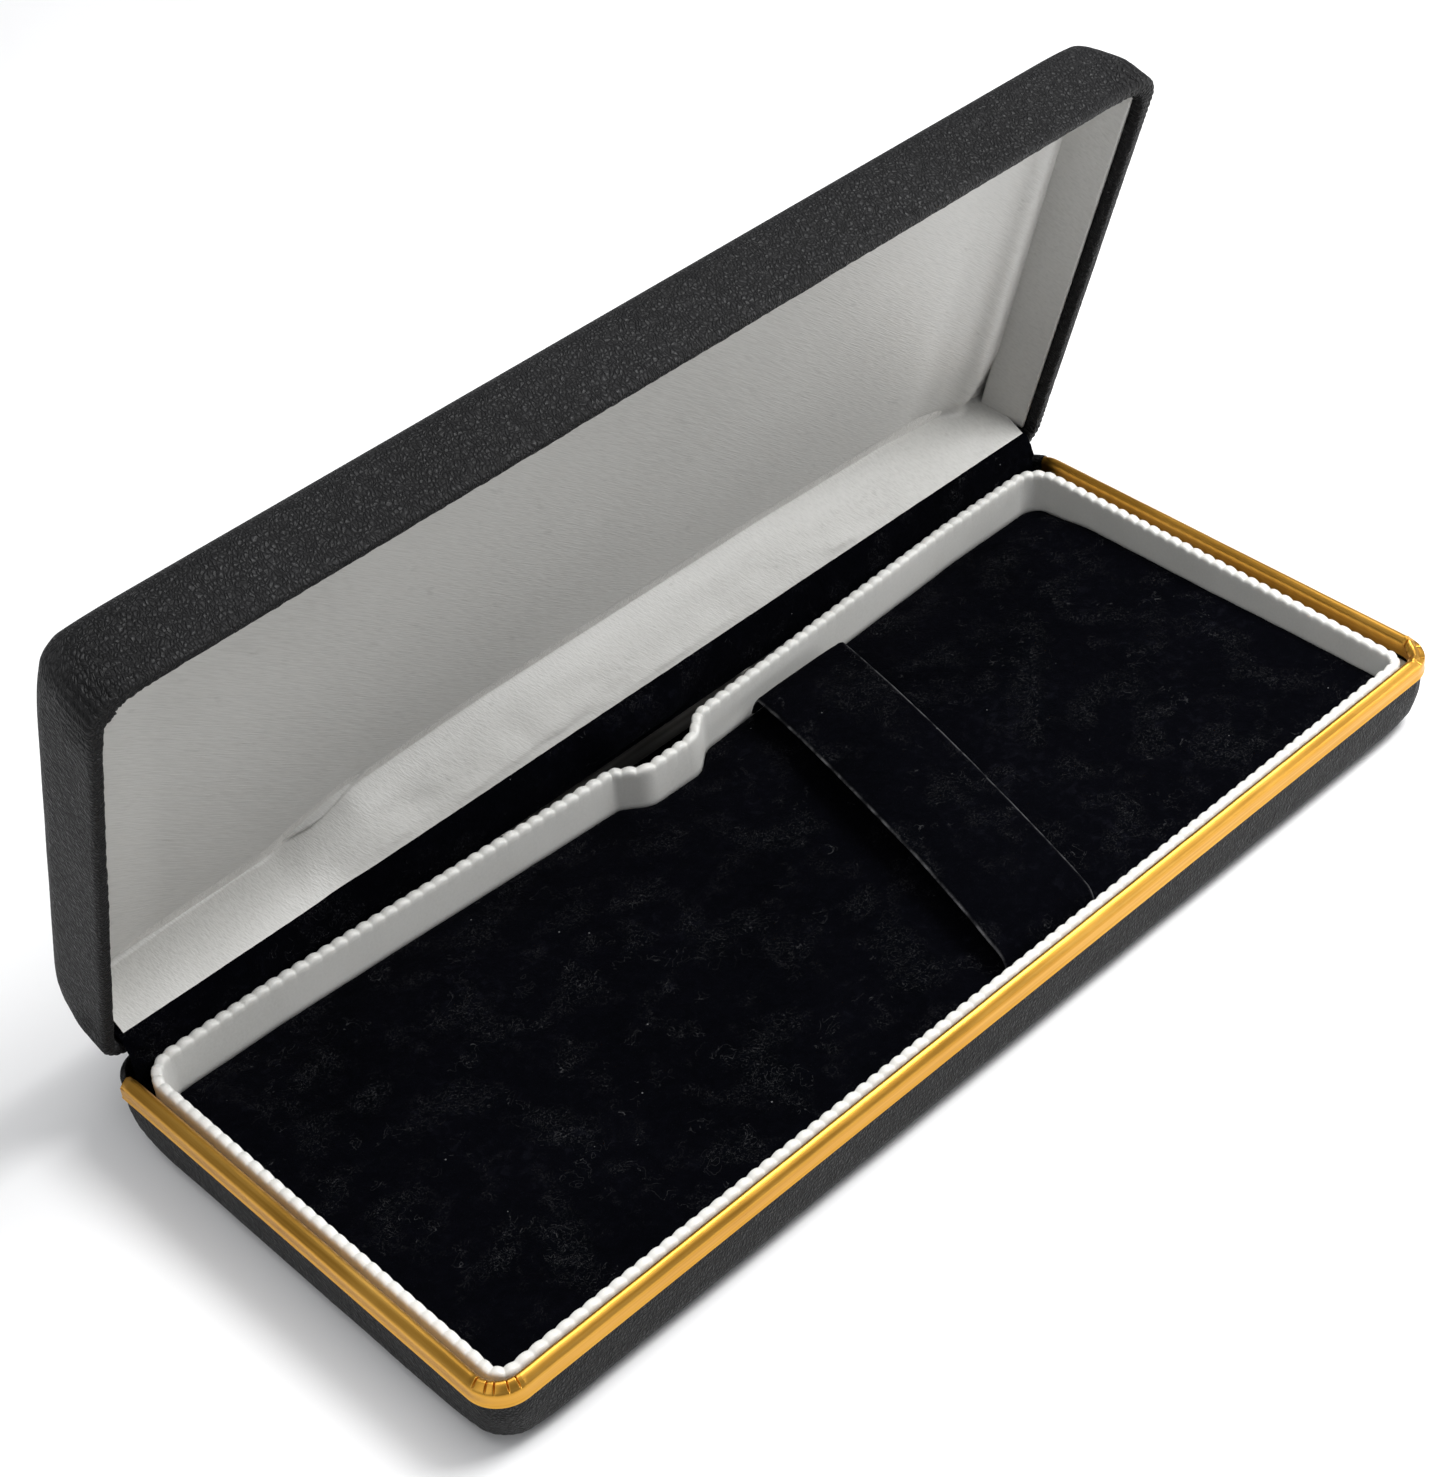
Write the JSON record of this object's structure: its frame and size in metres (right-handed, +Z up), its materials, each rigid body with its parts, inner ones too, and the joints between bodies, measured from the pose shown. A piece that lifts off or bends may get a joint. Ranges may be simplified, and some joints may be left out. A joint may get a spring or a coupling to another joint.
{
  "type": "jewelry box",
  "caption": "Long shallow hinged presentation box for jewelry, shown open, with a velvet pad and strap, a scalloped collar, a metal edge channel and a padded satin lid lining.",
  "frame": {"origin": "centre of the base's underside, with the lid's overhang left out", "axes": "+X along the case, +Y from the front edge towards the hinge, +Z up"},
  "size_m": [0.18, 0.0883, 0.0892],
  "materials": {
    "leatherette": "fine crepe grain, semi-matte black",
    "shell": "moulded, matte",
    "gold_channel": "bright gold tone, finely brushed lengthwise",
    "card": "grey-brown board",
    "collar": "off-white, scalloped, soft gloss",
    "foam": "soft wadding",
    "velvet": "short black pile",
    "steel": "plain spring steel",
    "satin": "warm grey-white satin, soft sheen"
  },
  "bodies": {
    "base": {"base_wrap": "leatherette", "base_shell": "shell", "rim_channel": "gold_channel", "wall_card": "card", "collar_strip": "collar", "pad_card": "card", "pad_foam": "foam", "velvet_pad": "velvet", "velvet_strap": "velvet", "base_hinge_leaf": "steel", "base_leaf_rivets": "steel", "hinge_pin": "steel", "snap_spring": "steel", "hinge_strip": "velvet"},
    "lid": {"lid_wrap": "leatherette", "lid_shell": "shell", "lid_card": "card", "lid_wadding": "foam", "lid_hinge_leaf": "steel", "lid_leaf_rivets": "steel", "satin_panel": "satin", "satin_front_wall": "satin", "satin_rear_wall": "satin", "satin_left_wall": "satin", "satin_right_wall": "satin"}
  },
  "joints": [
    {"name": "lid_hinge", "type": "hinge", "parent": "base", "child": "lid", "pos_m": [0, 0.03785, 0.013], "axis": [1, 0, 0], "range_deg": [0, 72.4], "deforming": ["snap_spring", "hinge_strip"]}
  ]
}
